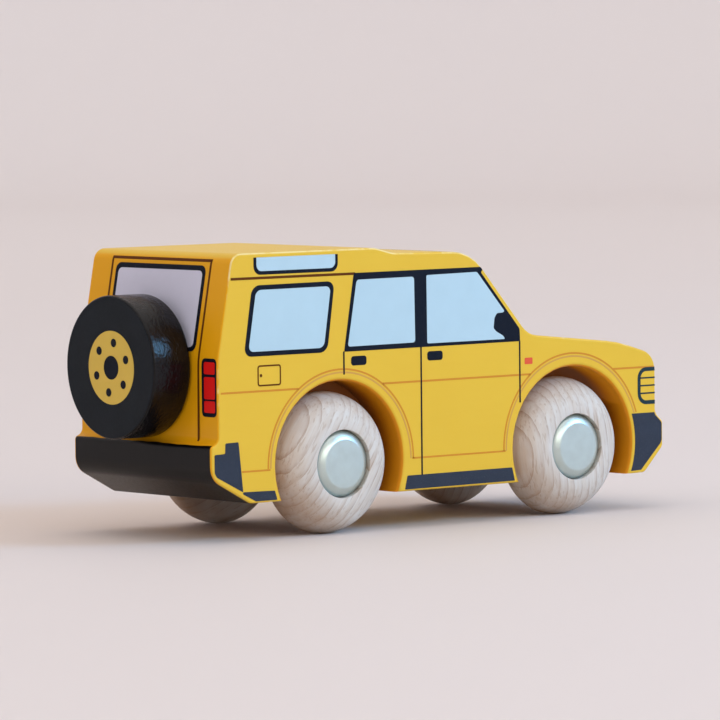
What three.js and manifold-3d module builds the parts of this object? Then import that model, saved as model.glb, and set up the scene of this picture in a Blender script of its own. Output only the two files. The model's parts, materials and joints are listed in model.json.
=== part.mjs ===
// Wooden toy off-road car: one profiled and painted wooden block, a spare wheel doweled to its tail,
// and four turned wooden wheels that spin on two plain steel axles under capped star washers.
// Millimetres, +Z up, +X towards the bonnet, +Y to the car's left.
// The origin is on the floor, under the middle of the overall box.
import * as THREE from "three";
import { mergeVertices } from "three/addons/utils/BufferGeometryUtils.js";
import Module from "manifold-3d";

// Wheels
const WHEEL_DIAMETER = 32;
const WHEEL_WIDTH = 10;
const WHEEL_DOME = 8;
const WHEEL_BACK_ROUND = 2;
const HUB_LAND = 0.5;
const HUB_PROUD = 1.25;
const RECESS_CHAMFER = 0.3;

// Axles, and the cap and star washer on each end
const AXLE_DIAMETER = 6;
const AXLE_CHAMFER = 0.6;
const CAP_DIAMETER = 15;
const CAP_HEIGHT = 2.4;
const CAP_SHOULDER = 1.7;
const CAP_WALL = 0.6;
const CAP_PROUD = 0.4;
const WASHER_THICKNESS = 0.5;
const WASHER_DISH = 0.45;
const WASHER_TEETH = 6;
const TOOTH_ANGLE = 36;
const SLOT_ANGLE = 14;
const SLOT_DEPTH = 1.5;

// Clearances
const RUNNING_CLEARANCE = 0.3;
const BORE_CLEARANCE = 0.3;
const SEAT_CLEARANCE = 0.3;
const RECESS_CLEARANCE = 0.4;
const CAP_PLAY = 0.4;
const WHEEL_SIDE_PLAY = 0.6;
const ARCH_GAP = 2.3;
const GLUE_LINE = 0.2;

// Block from the side: lengths along the car, heights above the axles
const WHEELBASE = 70.4;
const REAR_OVERHANG = 36.85;
const FRONT_OVERHANG = 28.35;
const BODY_WIDTH = 49.8;
const EDGE_ROUND = 0.5;
const ARCH_ROUND = 1;
const ARCHES_ABOVE_AXLES = 0.3;
const UNDERSIDE_BELOW_AXLES = 7.4;
const ROOF_HEIGHT = 48;
const ROOF_STEP = 1.35;
const ROOF_STEP_RUN = 5.2;
const ROOF_STEP_AHEAD_OF_AXLE = 10.85;
const ROOF_STEP_ROUND = 8;
const FRONT_ROOF_FALL = 0.45;
const TAIL_TOP_ROUND = 3;
const TAIL_LEAN = 4.35;
const TAIL_BEND_HEIGHT = 24.5;
const TAIL_BEND_ROUND = 15;
const SCREEN_FOOT_BEHIND_AXLE = 13.65;
const SCREEN_RUN = 17.4;
const SCREEN_TOP_ROUND = 12;
const SCREEN_FOOT_ROUND = 7;
const BONNET_HEIGHT = 26.5;
const BONNET_FALL = 2.85;
const BONNET_BEND_BEHIND_NOSE = 11.7;
const BONNET_BEND_ROUND = 40;
const NOSE_FALL = 3.45;
const NOSE_ROUND = 5;

// Bumpers, which are steps in the block's outline
const REAR_BUMPER_DEPTH = 2.1;
const REAR_BUMPER_TOP = 5.6;
const REAR_BUMPER_FACE = 7.1;
const REAR_SLOPE_RUN = 11;
const REAR_FOOT_ROUND = 4.5;
const REAR_SHELF_RISE = 0.9;
const FRONT_BUMPER_DEPTH = 2.3;
const FRONT_BUMPER_TOP = 4.4;
const FRONT_BUMPER_FACE = 5.9;
const FRONT_SLOPE_RUN = 5.8;
const FRONT_FOOT_ROUND = 1.5;
const FRONT_SHELF_RISE = 2;
const BUMPER_EDGE_ROUND = 1;
const BUMPER_CORNER_FILLET = 2.5;
const SLOPE_END_ROUND = 2;

// Spare wheel and its dowel
const SPARE_DIAMETER = 32;
const SPARE_WIDTH = 10.6;
const SPARE_FACE_ROUND = 0.6;
const SPARE_BACK_ROUND = 1;
const SPARE_ABOVE_BUMPER = 1.05;
const SPARE_WEB = 3.5;
const DOWEL_DIAMETER = 8;
const DOWEL_DEPTH_IN_BLOCK = 11;
const DOWEL_CHAMFER = 0.8;

// Facets
const WHEEL_FACETS = 40;
const SMALL_FACETS = 28;
const DOME_SEGMENTS = 8;
const ROUND_SEGMENTS = 3;
const TOOTH_SEGMENTS = 2;
const OUTLINE_STEP = THREE.MathUtils.degToRad(12);
const CUT_OVERRUN = 1;

// Places that follow from the sizes, measured from the middle of the rear axle
const wheelRadius = WHEEL_DIAMETER / 2;
const axleRadius = AXLE_DIAMETER / 2;
const capRadius = CAP_DIAMETER / 2;
const spareRadius = SPARE_DIAMETER / 2;
const dowelRadius = DOWEL_DIAMETER / 2;
const archRadius = wheelRadius + ARCH_GAP;
const bodySide = BODY_WIDTH / 2;
const hubFace = bodySide + HUB_PROUD;
const wheelBack = hubFace - WHEEL_WIDTH;
const wellWall = wheelBack - WHEEL_SIDE_PLAY;
const capTop = hubFace + CAP_PROUD;
const capFoot = capTop - CAP_HEIGHT;
const recessFloor = capFoot - CAP_PLAY;
const axleEnd = capTop - CAP_WALL - SEAT_CLEARANCE;
const front = WHEELBASE + FRONT_OVERHANG;
const rear = -REAR_OVERHANG;
const noseFace = front - FRONT_BUMPER_DEPTH;
const tailFace = rear + REAR_BUMPER_DEPTH;
const spareBack = tailFace - GLUE_LINE;
const spareFace = spareBack - SPARE_WIDTH;
const spareHeight = REAR_BUMPER_TOP + SPARE_ABOVE_BUMPER + spareRadius;
const dowelDepthInSpare = SPARE_WIDTH - SPARE_WEB - SEAT_CLEARANCE;

// Finishes
const YELLOW_PAINT = { color: 0xe5bd3e, roughness: 0.5, metalness: 0 };
const BLACK_PAINT = { color: 0x1c1d21, roughness: 0.35, metalness: 0 };
const BARE_WOOD = { color: 0xd2bba4, roughness: 0.7, metalness: 0 };
const ZINC_STEEL = { color: 0xb9c2c5, roughness: 0.3, metalness: 1 };

const wasm = await Module();
wasm.setup();

// A closed geometry as a solid that can be cut.
function solidOf(geometry) {
  const bare = geometry.clone();
  bare.deleteAttribute("normal");
  bare.deleteAttribute("uv");
  const merged = mergeVertices(bare);
  const mesh = new wasm.Mesh({
    numProp: 3,
    vertProperties: new Float32Array(merged.attributes.position.array),
    triVerts: new Uint32Array(merged.index.array),
  });
  return new wasm.Manifold(mesh);
}

// A cut solid as a geometry again.
function geometryOf(solid) {
  const mesh = solid.getMesh();
  const geometry = new THREE.BufferGeometry();
  geometry.setAttribute("position", new THREE.BufferAttribute(mesh.vertProperties, 3));
  geometry.setIndex(new THREE.BufferAttribute(mesh.triVerts, 1));
  geometry.computeVertexNormals();
  return geometry;
}

function piece(name, geometry, finish) {
  const mesh = new THREE.Mesh(geometry, new THREE.MeshStandardMaterial(finish));
  mesh.name = name;
  return mesh;
}

// Points along a stretch of an ellipse about [x, y], from one angle in degrees to another.
function arc(x, y, radiusX, radiusY, fromDegrees, toDegrees, segments = ROUND_SEGMENTS) {
  return Array.from({ length: segments + 1 }, (_, i) => {
    const angle = THREE.MathUtils.degToRad(fromDegrees + ((toDegrees - fromDegrees) * i) / segments);
    return [x + radiusX * Math.cos(angle), y + radiusY * Math.sin(angle)];
  });
}

function vectors(points) {
  return points.map(([x, y]) => new THREE.Vector2(x, y));
}

// A half-section of [radius, height] points, turned about the Y axis.
function turned(section, facets) {
  return new THREE.LatheGeometry(vectors(section), facets);
}

// A plain rod along Y with both ends chamfered.
function rod(radius, start, end, chamfer) {
  const section = [
    [0, start],
    [radius - chamfer, start],
    [radius, start + chamfer],
    [radius, end - chamfer],
    [radius - chamfer, end],
    [0, end],
  ];
  return turned(section, SMALL_FACETS);
}

// A square-ended cylinder along Y, for drilling a hole.
function drill(radius, start, end) {
  return turned([[0, start], [radius, start], [radius, end], [0, end]], SMALL_FACETS);
}

// An outline of [x, z, radius] corners with every corner rounded, as far as its edges leave room.
function roundedOutline(corners) {
  const points = [];
  corners.forEach(([x, z, radius], i) => {
    const corner = new THREE.Vector2(x, z);
    const [before, after] = [-1, 1].map((step) => {
      const [nextX, nextZ] = corners[(i + step + corners.length) % corners.length];
      return new THREE.Vector2(nextX, nextZ).sub(corner);
    });
    const room = Math.min(before.length(), after.length()) / 2;
    before.normalize();
    after.normalize();
    const halfTurn = (Math.PI - Math.acos(before.dot(after))) / 2;
    const tangent = Math.min(radius * Math.tan(halfTurn), room);
    const arcRadius = tangent / Math.tan(halfTurn);
    const centre = before.clone().add(after).setLength(arcRadius / Math.cos(halfTurn)).add(corner);
    const start = before.clone().multiplyScalar(tangent).add(corner);
    const side = Math.sign(before.cross(after));
    const segments = Math.max(2, Math.ceil((2 * halfTurn) / OUTLINE_STEP));
    for (let k = 0; k <= segments; k++) {
      const swing = (-side * 2 * halfTurn * k) / segments;
      points.push(start.clone().rotateAround(centre, swing));
    }
  });
  return points;
}

// Side outline of the block, from the foot of the rear slope up the tail and forward over the roof.
function blockOutline() {
  const underside = -UNDERSIDE_BELOW_AXLES;
  const frontRoof = ROOF_HEIGHT - ROOF_STEP;
  const screenFoot = WHEELBASE - SCREEN_FOOT_BEHIND_AXLE;
  const bonnetBend = noseFace - BONNET_BEND_BEHIND_NOSE;
  const bonnetBendHeight = BONNET_HEIGHT - BONNET_FALL;
  return roundedOutline([
    [rear + REAR_SLOPE_RUN, underside, SLOPE_END_ROUND],
    [rear, REAR_BUMPER_TOP - REAR_BUMPER_FACE, REAR_FOOT_ROUND],
    [rear, REAR_BUMPER_TOP, BUMPER_EDGE_ROUND],
    [tailFace, REAR_BUMPER_TOP + REAR_SHELF_RISE, BUMPER_CORNER_FILLET],
    [tailFace, TAIL_BEND_HEIGHT, TAIL_BEND_ROUND],
    [tailFace + TAIL_LEAN, ROOF_HEIGHT, TAIL_TOP_ROUND],
    [ROOF_STEP_AHEAD_OF_AXLE, ROOF_HEIGHT, ROOF_STEP_ROUND],
    [ROOF_STEP_AHEAD_OF_AXLE + ROOF_STEP_RUN, frontRoof, ROOF_STEP_ROUND],
    [screenFoot - SCREEN_RUN, frontRoof - FRONT_ROOF_FALL, SCREEN_TOP_ROUND],
    [screenFoot, BONNET_HEIGHT, SCREEN_FOOT_ROUND],
    [bonnetBend, bonnetBendHeight, BONNET_BEND_ROUND],
    [noseFace, bonnetBendHeight - NOSE_FALL, NOSE_ROUND],
    [noseFace, FRONT_BUMPER_TOP + FRONT_SHELF_RISE, BUMPER_CORNER_FILLET],
    [front, FRONT_BUMPER_TOP, BUMPER_EDGE_ROUND],
    [front, FRONT_BUMPER_TOP - FRONT_BUMPER_FACE, FRONT_FOOT_ROUND],
    [front - FRONT_SLOPE_RUN, underside, SLOPE_END_ROUND],
  ]);
}

// The space that a cutter mills for a wheel, in from the car's left, with its mouth rounded over.
function wheelWell() {
  const mouth = archRadius + ARCH_ROUND;
  const section = [
    [0, wellWall],
    [archRadius, wellWall],
    ...arc(mouth, bodySide - ARCH_ROUND, ARCH_ROUND, ARCH_ROUND, 180, 90),
    [mouth, bodySide + CUT_OVERRUN],
    [0, bodySide + CUT_OVERRUN],
  ];
  return turned(section, WHEEL_FACETS);
}

// The block: its outline across the whole width, less wheel wells, axle bores and the dowel's bore.
function bodyBlock() {
  const blank = new THREE.ExtrudeGeometry(new THREE.Shape(blockOutline()), {
    depth: BODY_WIDTH - 2 * EDGE_ROUND,
    bevelThickness: EDGE_ROUND,
    bevelSize: EDGE_ROUND,
    bevelOffset: -EDGE_ROUND,
    bevelSegments: ROUND_SEGMENTS,
  });
  blank.rotateX(Math.PI / 2).translate(0, bodySide - EDGE_ROUND, 0);
  const dowelBore = drill(dowelRadius + BORE_CLEARANCE, -SPARE_WIDTH, DOWEL_DEPTH_IN_BLOCK + SEAT_CLEARANCE);
  const cuts = [dowelBore.rotateZ(-Math.PI / 2).translate(spareBack, 0, spareHeight)];
  for (const axleX of [0, WHEELBASE]) {
    cuts.push(wheelWell().translate(axleX, 0, ARCHES_ABOVE_AXLES));
    cuts.push(wheelWell().rotateZ(Math.PI).translate(axleX, 0, ARCHES_ABOVE_AXLES));
    cuts.push(drill(axleRadius + BORE_CLEARANCE, -bodySide, bodySide).translate(axleX, 0, 0));
  }
  const block = cuts.reduce((solid, cut) => solid.subtract(solidOf(cut)), solidOf(blank));
  return piece("body_block", geometryOf(block), YELLOW_PAINT);
}

// A turned wheel: flat back, round tread and a domed face with a recess for the axle's cap.
function wheel(name) {
  const bore = axleRadius + RUNNING_CLEARANCE;
  const recess = capRadius + RECESS_CLEARANCE;
  const land = recess + RECESS_CHAMFER + HUB_LAND;
  const round = WHEEL_BACK_ROUND;
  const section = [
    [bore, wheelBack],
    ...arc(wheelRadius - round, wheelBack + round, round, round, -90, 0),
    ...arc(land, hubFace - WHEEL_DOME, wheelRadius - land, WHEEL_DOME, 0, 90, DOME_SEGMENTS),
    [recess + RECESS_CHAMFER, hubFace],
    [recess, hubFace - RECESS_CHAMFER],
    [recess, recessFloor],
    [bore, recessFloor],
    [bore, wheelBack],
  ];
  return piece(name, turned(section, WHEEL_FACETS), BARE_WOOD);
}

// A drawn steel cap, open towards the wheel.
function hubCap(name) {
  const inner = capRadius - CAP_WALL;
  const shoulder = Math.min(CAP_SHOULDER, CAP_HEIGHT - CAP_WALL);
  const innerShoulder = shoulder - CAP_WALL;
  const section = [
    [inner, capFoot],
    [capRadius, capFoot],
    ...arc(capRadius - shoulder, capTop - shoulder, shoulder, shoulder, 0, 90),
    [0, capTop],
    [0, capTop - CAP_WALL],
    ...arc(capRadius - shoulder, capTop - shoulder, innerShoulder, innerShoulder, 90, 0),
    [inner, capFoot],
  ];
  return piece(name, turned(section, SMALL_FACETS), ZINC_STEEL);
}

// A spring-steel washer inside the cap, with dished teeth that grip the axle.
function starWasher(name) {
  const rim = capRadius - CAP_WALL - SEAT_CLEARANCE;
  const tip = axleRadius + BORE_CLEARANCE;
  const root = tip + SLOT_DEPTH;
  const pitch = 360 / WASHER_TEETH;
  const span = (radius, middle, angle) =>
    arc(0, 0, radius, radius, middle - angle / 2, middle + angle / 2, TOOTH_SEGMENTS);
  const teeth = [];
  for (let i = 0; i < WASHER_TEETH; i++) {
    teeth.push(...span(tip, i * pitch, TOOTH_ANGLE), ...span(root, i * pitch + pitch / 2, SLOT_ANGLE));
  }
  const ring = new THREE.Shape(vectors(arc(0, 0, rim, rim, 0, 360, SMALL_FACETS)));
  ring.holes.push(new THREE.Path(vectors(teeth)));
  const washer = new THREE.ExtrudeGeometry(ring, { depth: WASHER_THICKNESS, bevelEnabled: false });
  const position = washer.attributes.position;
  for (let i = 0; i < position.count; i++) {
    const radius = Math.hypot(position.getX(i), position.getY(i));
    position.setZ(i, position.getZ(i) + (WASHER_DISH * (rim - radius)) / (rim - tip));
  }
  return piece(name, washer.rotateX(-Math.PI / 2).translate(0, capFoot, 0), ZINC_STEEL);
}

// A wheel with the cap and washer that hold it on the left end of an axle.
function axleEndSet(place) {
  const set = new THREE.Group();
  set.add(wheel(`wheel_${place}`), hubCap(`hub_cap_${place}`), starWasher(`star_washer_${place}`));
  return set;
}

function axleSet(end, axleX) {
  const set = new THREE.Group();
  const right = axleEndSet(`${end}_right`);
  right.rotation.z = Math.PI;
  const axle = rod(axleRadius, -axleEnd, axleEnd, AXLE_CHAMFER);
  set.add(piece(`${end}_axle`, axle, ZINC_STEEL), axleEndSet(`${end}_left`), right);
  set.position.x = axleX;
  return set;
}

// A plain disc with a blind bore in its back. Its half-section runs from the back to the face.
function spareWheel() {
  const bore = dowelRadius + BORE_CLEARANCE;
  const boreEnd = dowelDepthInSpare + SEAT_CLEARANCE;
  const backRound = SPARE_BACK_ROUND;
  const faceRound = SPARE_FACE_ROUND;
  const section = [
    [0, boreEnd],
    [bore, boreEnd],
    [bore, 0],
    ...arc(spareRadius - backRound, backRound, backRound, backRound, -90, 0),
    ...arc(spareRadius - faceRound, SPARE_WIDTH - faceRound, faceRound, faceRound, 0, 90),
    [0, SPARE_WIDTH],
  ];
  return piece("spare_wheel", turned(section, WHEEL_FACETS), BLACK_PAINT);
}

// The spare wheel and its dowel, both along Y from the spare's back, turned to face the rear.
function spareSet() {
  const dowel = rod(dowelRadius, -DOWEL_DEPTH_IN_BLOCK, dowelDepthInSpare, DOWEL_CHAMFER);
  const set = new THREE.Group();
  set.add(spareWheel(), piece("spare_wheel_dowel", dowel, BARE_WOOD));
  set.rotation.z = Math.PI / 2;
  set.position.set(spareBack, 0, spareHeight);
  return set;
}

const car = new THREE.Group();
car.add(bodyBlock(), spareSet(), axleSet("rear", 0), axleSet("front", WHEELBASE));
car.position.set(-(front + spareFace) / 2, 0, wheelRadius);

const part = new THREE.Group();
part.add(car);
export default part;
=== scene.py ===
"""Dresses a wooden toy off-road car: painted block, printed windows and trim, beech wheels and zinc caps."""

import json
import logging
import math
from contextlib import contextmanager
from dataclasses import dataclass, field
from enum import Enum
from typing import Any, Callable, Iterator, Sequence

import bmesh
import bpy
from mathutils import Matrix, Vector

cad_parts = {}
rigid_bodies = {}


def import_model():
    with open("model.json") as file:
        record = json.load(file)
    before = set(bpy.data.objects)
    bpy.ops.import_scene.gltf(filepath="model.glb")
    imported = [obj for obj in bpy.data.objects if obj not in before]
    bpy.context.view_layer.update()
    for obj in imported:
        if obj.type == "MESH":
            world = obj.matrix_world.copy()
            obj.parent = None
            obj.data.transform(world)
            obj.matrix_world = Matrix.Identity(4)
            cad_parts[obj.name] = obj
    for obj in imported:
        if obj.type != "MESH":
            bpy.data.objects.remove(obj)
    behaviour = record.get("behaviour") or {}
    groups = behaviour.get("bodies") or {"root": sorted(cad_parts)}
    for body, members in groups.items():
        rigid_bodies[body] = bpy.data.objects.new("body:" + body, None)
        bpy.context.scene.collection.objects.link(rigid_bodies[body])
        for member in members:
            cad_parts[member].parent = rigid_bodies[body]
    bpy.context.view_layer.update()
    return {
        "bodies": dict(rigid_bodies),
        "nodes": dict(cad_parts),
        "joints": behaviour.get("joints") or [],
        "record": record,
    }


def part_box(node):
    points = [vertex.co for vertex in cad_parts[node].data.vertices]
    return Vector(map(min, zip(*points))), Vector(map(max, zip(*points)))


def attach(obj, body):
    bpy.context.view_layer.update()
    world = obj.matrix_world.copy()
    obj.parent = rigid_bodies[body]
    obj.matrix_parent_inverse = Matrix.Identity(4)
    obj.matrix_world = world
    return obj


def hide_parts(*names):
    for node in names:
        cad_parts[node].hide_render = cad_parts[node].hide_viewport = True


LOG = logging.getLogger("toy_car")
CAR_BODY = "car_body"
MM = 0.001
WELD = 2e-6
FILM_GAP = 0.01
FAINT_FILM, LINE_FILM, DARK_FILM, OVER_FILM = 0.03, 0.04, 0.05, 0.09
TOUCH = 1e-7
CORNER_STEPS = 6
RING_SIDES = 192
EDGE_BENDS = (-24.6, -24.4, 24.4, 24.6)
SMOOTH_ANGLE = 50.0
FORWARD = Vector((1.0, 0.0, 0.0))
BACKWARD = Vector((-1.0, 0.0, 0.0))
LEFT = Vector((0.0, 1.0, 0.0))
RIGHT = Vector((0.0, -1.0, 0.0))
UP = Vector((0.0, 0.0, 1.0))

Piece = bpy.types.Object
Material = bpy.types.Material
Point = tuple[float, float]
Line = tuple[Point, Point]
Cut = tuple[Point, Point]
Colour = tuple[float, float, float]


class Signal:
    """One output socket, with arithmetic that adds Math nodes to its tree."""

    def __init__(self, graph: "ShaderGraph", socket: bpy.types.NodeSocket) -> None:
        """Wraps a socket of a graph."""
        self.graph = graph
        self.socket = socket

    def __add__(self, other: "Signal | float") -> "Signal":
        """Adds a signal or a number."""
        return self.graph.math("ADD", self, other)

    def __radd__(self, other: float) -> "Signal":
        """Adds to a number."""
        return self.graph.math("ADD", other, self)

    def __sub__(self, other: "Signal | float") -> "Signal":
        """Takes a signal or a number away."""
        return self.graph.math("SUBTRACT", self, other)

    def __rsub__(self, other: float) -> "Signal":
        """Takes the signal away from a number."""
        return self.graph.math("SUBTRACT", other, self)

    def __mul__(self, other: "Signal | float") -> "Signal":
        """Multiplies by a signal or a number."""
        return self.graph.math("MULTIPLY", self, other)

    def __rmul__(self, other: float) -> "Signal":
        """Multiplies a number."""
        return self.graph.math("MULTIPLY", other, self)

    def __truediv__(self, other: "Signal | float") -> "Signal":
        """Divides by a signal or a number."""
        return self.graph.math("DIVIDE", self, other)

    def __rtruediv__(self, other: float) -> "Signal":
        """Divides a number by the signal."""
        return self.graph.math("DIVIDE", other, self)

    def __pow__(self, other: "Signal | float") -> "Signal":
        """Raises to a power."""
        return self.graph.math("POWER", self, other)

    def __abs__(self) -> "Signal":
        """Drops the sign."""
        return self.graph.math("ABSOLUTE", self, 0.0)


class ShaderGraph:
    """A new material's node tree."""

    def __init__(self, name: str) -> None:
        """Starts an empty tree.

        Args:
            name: The material's name.
        """
        self.material = bpy.data.materials.new(name)
        self.material.use_nodes = True
        self.tree = self.material.node_tree
        self.tree.nodes.clear()

    def node(self, kind: str, settings: dict[str, Any] | None = None,
             sockets: dict[str | int, Any] | None = None) -> bpy.types.Node:
        """Adds any node.

        Args:
            kind: The node's type.
            settings: Its properties, set first.
            sockets: A value or a signal for each named or numbered input.

        Returns:
            The new node.
        """
        node = self.tree.nodes.new(kind)
        for key, value in (settings or {}).items():
            setattr(node, key, value)
        for key, value in (sockets or {}).items():
            socket = node.inputs[key]
            if isinstance(value, Signal):
                self.tree.links.new(value.socket, socket)
            elif socket.type == "RGBA" and len(value) == 3:
                socket.default_value = (*value, 1.0)
            else:
                socket.default_value = value
        return node

    def signal(self, kind: str, settings: dict[str, Any] | None = None,
               sockets: dict[str | int, Any] | None = None, output: str | int = 0) -> Signal:
        """Adds a node and wraps the named or numbered output."""
        return Signal(self, self.node(kind, settings, sockets).outputs[output])

    def math(self, operation: str, first: Signal | float, second: Signal | float) -> Signal:
        """Adds a Math node on two signals or numbers."""
        return self.signal("ShaderNodeMath", {"operation": operation}, {0: first, 1: second})

    def place(self) -> Signal:
        """Gives the object coordinates, in metres."""
        return self.signal("ShaderNodeTexCoord", output="Object")

    def parts(self, vector: Signal) -> list[Signal]:
        """Splits a vector into its three lengths."""
        node = self.node("ShaderNodeSeparateXYZ", None, {0: vector})
        return [Signal(self, output) for output in node.outputs]

    def span(self, first: Signal, second: Signal) -> Signal:
        """Gives the straight length over two lengths at right angles."""
        return self.math("SQRT", first ** 2.0 + second ** 2.0, 0.0)

    def noise(self, vector: Signal, scale: float, detail: float = 2.0) -> Signal:
        """Adds noise whose features are about 1 / scale metres across."""
        return self.signal("ShaderNodeTexNoise", None, {"Vector": vector, "Scale": scale, "Detail": detail})

    def stretch(self, vector: Signal, scale: tuple[float, float, float]) -> Signal:
        """Scales a vector along its three axes."""
        return self.signal("ShaderNodeMapping", {"vector_type": "POINT"}, {"Vector": vector, "Scale": scale})

    def step(self, value: Signal, low: float, high: float) -> Signal:
        """Rises smoothly from 0 to 1 as a value goes from low to high."""
        return self.signal("ShaderNodeMapRange", {"interpolation_type": "SMOOTHSTEP", "clamp": True},
                           {"Value": value, "From Min": low, "From Max": high})

    def mix(self, share: Signal | float, first: Signal | Colour, second: Signal | Colour) -> Signal:
        """Mixes two colours by a share of the second."""
        return self.signal("ShaderNodeMix", {"data_type": "RGBA"}, {0: share, 6: first, 7: second}, 2)

    def bump(self, height: Signal, strength: float, distance: float) -> Signal:
        """Turns a height into a normal; the distance is in metres."""
        return self.signal("ShaderNodeBump", None,
                           {"Height": height, "Strength": strength, "Distance": distance})

    def finish(self, **inputs: Any) -> Material:
        """Feeds the surface shader and the output.

        Args:
            **inputs: The shader's inputs, with underscores for spaces.

        Returns:
            The finished material.
        """
        sockets = {key.replace("_", " "): value for key, value in inputs.items()}
        shader = self.signal("ShaderNodeBsdfPrincipled", None, sockets)
        self.node("ShaderNodeOutputMaterial", None, {"Surface": shader})
        return self.material


@dataclass(frozen=True)
class BlockPaint:
    """Satin yellow paint on the block, with bumpers brushed black across their faces.

    The yellow is deeper orange on the tail as painted shade, darkens in the wheel wells towards their inner
    walls as painted shade, and is paler on the rounded edges for thin paint and a painted highlight.
    Brush lines, the tail's bend and top and the wells' middles are lengths along the car and heights. All
    lengths are in metres in the part's frame.
    """

    rear_line: Line
    front_line: Line
    tail: Line
    wells: tuple[Point, ...]
    well_radius: float
    side: float
    rim: float
    gutter: float = 0.0575
    brush_wobble: float = 0.0011
    crisp: float = 0.00008
    yellow: Colour = (0.785, 0.512, 0.046)
    deep_yellow: Colour = (0.745, 0.457, 0.035)
    # Painted shade: the tail faces away from the lights, and this deeper orange stands in for its shade.
    tail_shade_yellow: Colour = (0.80, 0.38, 0.003)
    # Painted shade in the wheel wells: orange at the lip, darker towards the inner walls, near black deepest
    # in.
    well_shade_yellow: Colour = (0.68, 0.25, 0.004)
    well_shade_brown: Colour = (0.42, 0.12, 0.005)
    well_shadow_dark: Colour = (0.30, 0.10, 0.02)
    # Paler cream on the rounded edges: partly thin paint, partly a painted highlight where the edges catch
    # the light.
    wear_and_highlight_yellow: Colour = (0.86, 0.74, 0.36)
    black: Colour = (0.0022, 0.0022, 0.0032)

    def beyond(self, graph: ShaderGraph, place: Signal, line: Line) -> Signal:
        """Masks what lies outside a line across the block's outline.

        Args:
            graph: The tree to add to.
            place: Object coordinates.
            line: Two points; the outside is on the left of the way from the first to the second.

        Returns:
            1 outside the line and 0 inside it, with a hand-brushed edge.
        """
        (x0, z0), (x1, z1) = line
        length = math.hypot(x1 - x0, z1 - z0)
        x, _, z = graph.parts(place)
        wobble = (graph.noise(place, 140.0, 1.0) - 0.5) * self.brush_wobble
        distance = (x - x0) * (-(z1 - z0) / length) + (z - z0) * ((x1 - x0) / length) + wobble
        return graph.step(distance, -self.crisp, self.crisp)

    def in_wells(self, graph: ShaderGraph, place: Signal, radius: float) -> Signal:
        """Masks what is near the wheel wells.

        Args:
            graph: The tree to add to.
            place: Object coordinates.
            radius: How far from the wells' middles the mask reaches.

        Returns:
            1 within that radius and 0 elsewhere.
        """
        x, _, z = graph.parts(place)
        rear, front = (1 - graph.step(graph.span(x - middle_x, z - middle_z), radius, radius + 0.0003)
                       for middle_x, middle_z in self.wells)
        return rear + front

    def on_tail(self, graph: ShaderGraph, place: Signal) -> Signal:
        """Masks the tail, which stands upright to its bend and leans forward above it.

        Args:
            graph: The tree to add to.
            place: Object coordinates.

        Returns:
            1 on the tail and 0 further forward or on the sides.
        """
        (foot, bend), (top, roof) = self.tail
        x, y, z = graph.parts(place)
        lean = graph.math("MAXIMUM", z - bend, 0.0) * ((top - foot) / (roof - bend))
        behind = 1 - graph.step(x - foot - lean, 0.0002, 0.0007)
        return behind * (1 - graph.step(abs(y), self.side - 0.0002, self.side - self.crisp))

    def worn_and_lit(self, graph: ShaderGraph, place: Signal) -> Signal:
        """Masks rounded side edges, where the paint is thin and a painted highlight lies: patches above the
        gutter, spots below.

        Args:
            graph: The tree to add to.
            place: Object coordinates.

        Returns:
            1 where the paint is thinnest and the painted highlight brightest.
        """
        _, y, z = graph.parts(place)
        side = abs(y)
        inner = graph.step(side, self.rim + self.crisp, self.rim + 0.0002)
        outer = 1 - graph.step(side, self.side - self.crisp, self.side - 0.00002)
        rub = graph.noise(place, 260.0, 4.0)
        high = graph.step(z, self.gutter, self.gutter + 0.002)
        patches = graph.step(rub + high * 0.24, 0.56, 0.76)
        away = 1 - self.in_wells(graph, place, self.well_radius + 0.00095)
        return inner * outer * patches * away

    def material(self) -> Material:
        """Builds the paint with its orange peel, its slow drift of colour and the black bumpers.

        Returns:
            The material.
        """
        graph = ShaderGraph("block_paint")
        place = graph.place()
        side = abs(graph.parts(place)[1])
        drift = graph.noise(place, 55.0, 3.0)
        grain = graph.noise(graph.stretch(place, (0.16, 1.0, 1.0)), 900.0, 3.0)
        peel = graph.noise(place, 1500.0, 2.0)
        inside_rim = 1 - graph.step(side, self.rim - 0.00012, self.rim + 0.00012)
        outer = self.beyond(graph, place, self.rear_line) + self.beyond(graph, place, self.front_line)
        black = outer * inside_rim
        yellow = graph.mix(drift * 0.7 + grain * 0.3, self.yellow, self.deep_yellow)
        # Painted shade: the tail is mixed towards the deeper orange.
        tail_shaded = graph.mix(self.on_tail(graph, place) * (0.8 + drift * 0.4), yellow, self.tail_shade_yellow)
        # Painted shade: the wells darken towards their inner walls, where the wheels keep the light out.
        lip = graph.mix(graph.step(side, self.rim - 0.0085, self.rim), self.well_shade_brown, self.well_shade_yellow)
        well = graph.mix(graph.step(side, self.rim - 0.0088, self.rim - 0.0045), self.well_shadow_dark, lip)
        well_shaded = graph.mix(self.in_wells(graph, place, self.well_radius), tail_shaded, well)
        # Thin paint and a painted highlight on the rounded edges.
        rubbed_and_lit = graph.mix(self.worn_and_lit(graph, place) * 0.75, well_shaded, self.wear_and_highlight_yellow)
        colour = graph.mix(black, rubbed_and_lit, self.black)
        rough = (0.38 + (peel - 0.5) * 0.16) - black * 0.06
        return graph.finish(Base_Color=colour, Roughness=rough, Specular_IOR_Level=0.2,
                            Normal=graph.bump(peel * 0.6 + grain * 0.4, 0.2, 0.00006))


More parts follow.
